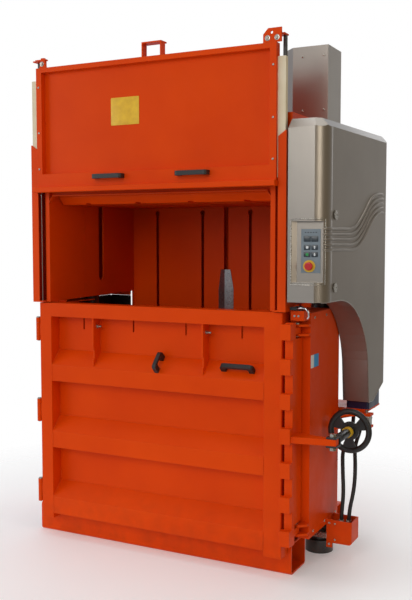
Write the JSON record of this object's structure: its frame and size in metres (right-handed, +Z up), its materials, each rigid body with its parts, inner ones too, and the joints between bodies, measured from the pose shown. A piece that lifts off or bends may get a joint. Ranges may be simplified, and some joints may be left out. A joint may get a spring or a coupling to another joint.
{
  "type": "recycling baler",
  "caption": "Upright hydraulic baler: open-front press chamber with sliding gate, hinged bale door with claw lock and handwheel, side-cylinder platen and a hooded control side.",
  "frame": {"origin": "middle of the underside of the front sill, on the floor", "axes": "+X to the machine's right side with the hood, +Y backwards into the chamber, +Z up"},
  "size_m": [1.668, 0.894, 2.33],
  "materials": {
    "orange_paint": "gloss powder coat",
    "silver_paint": "silver metallic paint",
    "black_paint": "black paint",
    "navy_paint": "dark blue paint",
    "galvanised_steel": "galvanised",
    "chromed_steel": "ground and chromed",
    "bright_steel": "zinc plated",
    "black_plastic": "moulded",
    "yellow_plastic": "moulded",
    "red_plastic": "moulded",
    "cream_polyethylene": "machined slide bar",
    "keypad_film": "printed film",
    "hose_rubber": "smooth cover"
  },
  "bodies": {
    "frame": {"front_sill": "orange_paint", "rear_sill": "orange_paint", "floor_plate": "orange_paint", "left_wall": "orange_paint", "right_wall": "orange_paint", "back_wall": "orange_paint", "back_channels": "orange_paint", "centre_guide_plate": "galvanised_steel", "left_side_box": "orange_paint", "right_side_box": "orange_paint", "guide_rails": "orange_paint", "top_frame": "orange_paint", "front_header": "orange_paint", "cylinder_covers": "silver_paint", "cylinders": "black_paint", "cylinder_clamps": "bright_steel", "strut_rods": "chromed_steel", "lock_brackets": "orange_paint", "hinge_pins": "bright_steel", "spindle_anchor": "orange_paint", "side_hood": "silver_paint", "control_console": "silver_paint", "keypad": "keypad_film", "estop_collar": "yellow_plastic", "hood_bracket": "orange_paint", "oil_tank": "navy_paint", "pump_motor": "black_paint", "tank_shelf": "orange_paint", "valve_box": "orange_paint", "valve_block": "bright_steel", "inner_hose": "hose_rubber", "outer_hose": "hose_rubber", "interlock_switch": "black_plastic", "cover_screws": "bright_steel"},
    "gate": {"gate_panel": "orange_paint", "gate_slides": "cream_polyethylene", "gate_hook": "orange_paint", "strut_brackets": "orange_paint", "strut_tubes": "black_paint", "gate_handles": "black_plastic"},
    "bale_door": {"door_frame": "orange_paint", "door_skin": "orange_paint", "door_shelves": "orange_paint", "door_ribs": "orange_paint", "strap_plungers": "bright_steel", "door_handles": "black_plastic", "door_knuckles": "orange_paint"},
    "press": {"platen": "orange_paint", "platen_yoke": "orange_paint", "piston_rods": "chromed_steel"},
    "lock": {"lock_beam": "orange_paint"},
    "yoke": {"spindle_yoke": "black_paint", "yoke_bolt": "bright_steel"},
    "wheel": {"handwheel": "black_plastic", "lock_spindle": "bright_steel", "spindle_collar": "yellow_plastic"},
    "nut": {"spindle_nut": "bright_steel"},
    "upper_lock": {"upper_hood_lock": "bright_steel"},
    "lower_lock": {"lower_hood_lock": "bright_steel"},
    "estop": {"estop_button": "red_plastic"}
  },
  "joints": [
    {"name": "gate_slide", "type": "slide", "parent": "frame", "child": "gate", "axis": [0, 0, 1], "range_m": [-0.525, 0]},
    {"name": "door_swing", "type": "hinge", "parent": "frame", "child": "bale_door", "pos_m": [-0.65, -0.153, 0.626], "axis": [0, 0, -1], "range_deg": [0, 120]},
    {"name": "platen_slide", "type": "slide", "parent": "frame", "child": "press", "axis": [0, 0, 1], "range_m": [-0.8, 0]},
    {"name": "handwheel_spin", "type": "hinge", "parent": "yoke", "child": "wheel", "pos_m": [0.854, 0.087, 0.6265], "axis": [0, 1, 0], "range_deg": [-1620, 600]},
    {"name": "lock_swing", "type": "hinge", "parent": "frame", "child": "lock", "pos_m": [0.672, -0.093, 0.626], "axis": [0, 0, 1], "range_deg": [-8.1, 3]},
    {"name": "yoke_swivel", "type": "hinge", "parent": "lock", "child": "yoke", "pos_m": [0.854, -0.143, 0.6265], "axis": [0, 0, 1], "range_deg": [-2.65, 7.14]},
    {"name": "nut_swivel", "type": "hinge", "parent": "frame", "child": "nut", "pos_m": [0.854, 0.337, 0.6265], "axis": [0, 0, 1], "range_deg": [-0.97, 0.37]},
    {"name": "upper_lock_turn", "type": "hinge", "parent": "frame", "child": "upper_lock", "pos_m": [0.82987, -0.068, 1.564], "axis": [1, 0, 0], "range_deg": [0, 90]},
    {"name": "lower_lock_turn", "type": "hinge", "parent": "frame", "child": "lower_lock", "pos_m": [0.82987, -0.068, 1.261], "axis": [1, 0, 0], "range_deg": [0, 90]},
    {"name": "estop_press", "type": "slide", "parent": "frame", "child": "estop", "axis": [-0.1615, 0.9869, 0], "range_m": [0, 0.006], "stiffness_N_per_m": 800}
  ],
  "couplings": [
    {"joint": "lock_swing", "follows": "handwheel_spin", "ratio": 0.005},
    {"joint": "yoke_swivel", "follows": "handwheel_spin", "ratio": -0.0044025},
    {"joint": "nut_swivel", "follows": "handwheel_spin", "ratio": 0.0005975}
  ]
}
